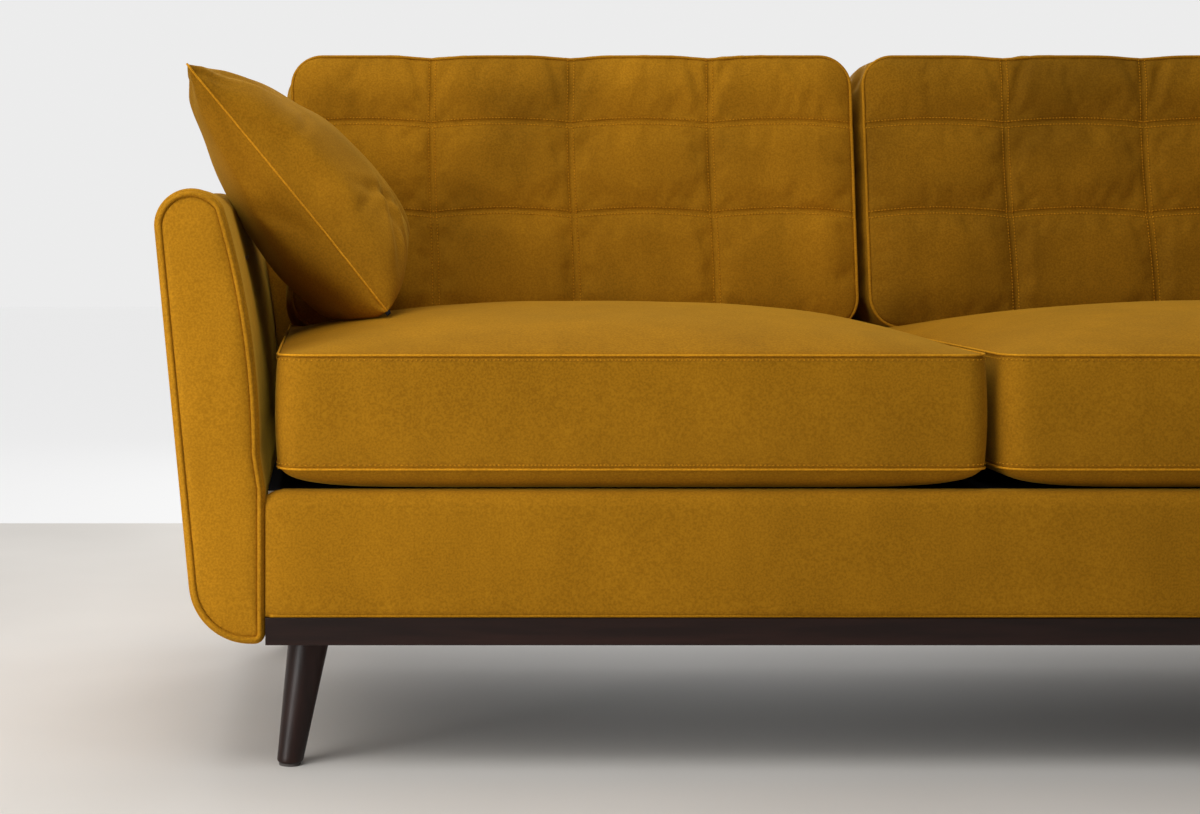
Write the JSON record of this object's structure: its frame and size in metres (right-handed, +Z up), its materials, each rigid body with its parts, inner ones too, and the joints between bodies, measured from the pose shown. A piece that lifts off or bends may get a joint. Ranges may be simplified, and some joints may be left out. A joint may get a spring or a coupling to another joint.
{
  "type": "two-seat sofa",
  "caption": "Velvet two-seat sofa with outward-leaning piped arms, loose seat and back cushions with stitched grids, scatter cushions, a dark wood plinth and splayed tapered legs.",
  "frame": {"origin": "on the floor, under the middle of the sofa's outline", "axes": "+X along the sofa's length to the right as seen from the front, -Y towards the sitter's feet (the front), +Z up"},
  "size_m": [1.842, 0.89, 0.831],
  "materials": {
    "velvet": "matte",
    "piping_velvet": "matte",
    "dark_wood": "satin",
    "frame_timber": "matte",
    "foam": "matte",
    "filling": "matte",
    "spring_steel": "satin",
    "fittings_steel": "satin",
    "black_cloth": "matte",
    "webbing": "matte",
    "felt": "matte",
    "zip": "matte"
  },
  "bodies": {
    "base": {"arm_board_left": "frame_timber", "arm_board_right": "frame_timber", "arm_bolts": "fittings_steel", "arm_cover_left": "velvet", "arm_cover_right": "velvet", "arm_facing_left": "velvet", "arm_facing_right": "velvet", "arm_padding_left": "foam", "arm_padding_right": "foam", "arm_piping_left": "piping_velvet", "arm_piping_right": "piping_velvet", "back_bottom_rail": "frame_timber", "back_cover": "velvet", "back_padding": "foam", "back_top_rail": "frame_timber", "back_uprights": "frame_timber", "back_webbing": "webbing", "border_cover": "velvet", "border_padding": "foam", "centre_rail": "frame_timber", "corner_blocks": "frame_timber", "deck_cloth": "black_cloth", "deck_padding": "foam", "dust_cover": "black_cloth", "felt_glides": "felt", "front_rail": "frame_timber", "leg_bolts": "fittings_steel", "leg_front_left": "dark_wood", "leg_front_right": "dark_wood", "leg_plate_screws": "fittings_steel", "leg_plates": "fittings_steel", "leg_rear_left": "dark_wood", "leg_rear_right": "dark_wood", "plinth_front": "dark_wood", "rear_rail": "frame_timber", "seat_springs": "spring_steel", "side_rail_left": "frame_timber", "side_rail_right": "frame_timber", "spring_clips": "spring_steel"},
    "seat_cushion_left": {"seat_cushion_cover_left": "velvet", "seat_cushion_foam_left": "foam", "seat_cushion_zip_left": "zip"},
    "back_cushion_left": {"back_cushion_cover_left": "velvet", "back_cushion_filling_left": "filling", "back_cushion_zip_left": "zip"},
    "scatter_cushion_left": {"scatter_cushion_cover_left": "velvet", "scatter_cushion_pad_left": "filling", "scatter_cushion_zip_left": "zip"},
    "seat_cushion_right": {"seat_cushion_cover_right": "velvet", "seat_cushion_foam_right": "foam", "seat_cushion_zip_right": "zip"},
    "back_cushion_right": {"back_cushion_cover_right": "velvet", "back_cushion_filling_right": "filling", "back_cushion_zip_right": "zip"},
    "scatter_cushion_right": {"scatter_cushion_cover_right": "velvet", "scatter_cushion_pad_right": "filling", "scatter_cushion_zip_right": "zip"}
  },
  "joints": [
    {"name": "seat_lift_left", "type": "slide", "parent": "base", "child": "seat_cushion_left", "axis": [0, 0, 1], "range_m": [0, 0.4]},
    {"name": "back_lift_left", "type": "slide", "parent": "seat_cushion_left", "child": "back_cushion_left", "axis": [0, 0.1461, 0.9893], "range_m": [0, 0.4]},
    {"name": "scatter_lift_left", "type": "slide", "parent": "seat_cushion_left", "child": "scatter_cushion_left", "axis": [0, 0, 1], "range_m": [0, 0.4]},
    {"name": "seat_lift_right", "type": "slide", "parent": "base", "child": "seat_cushion_right", "axis": [0, 0, 1], "range_m": [0, 0.4]},
    {"name": "back_lift_right", "type": "slide", "parent": "seat_cushion_right", "child": "back_cushion_right", "axis": [0, 0.1461, 0.9893], "range_m": [0, 0.4]},
    {"name": "scatter_lift_right", "type": "slide", "parent": "seat_cushion_right", "child": "scatter_cushion_right", "axis": [0, 0, 1], "range_m": [0, 0.4]}
  ]
}
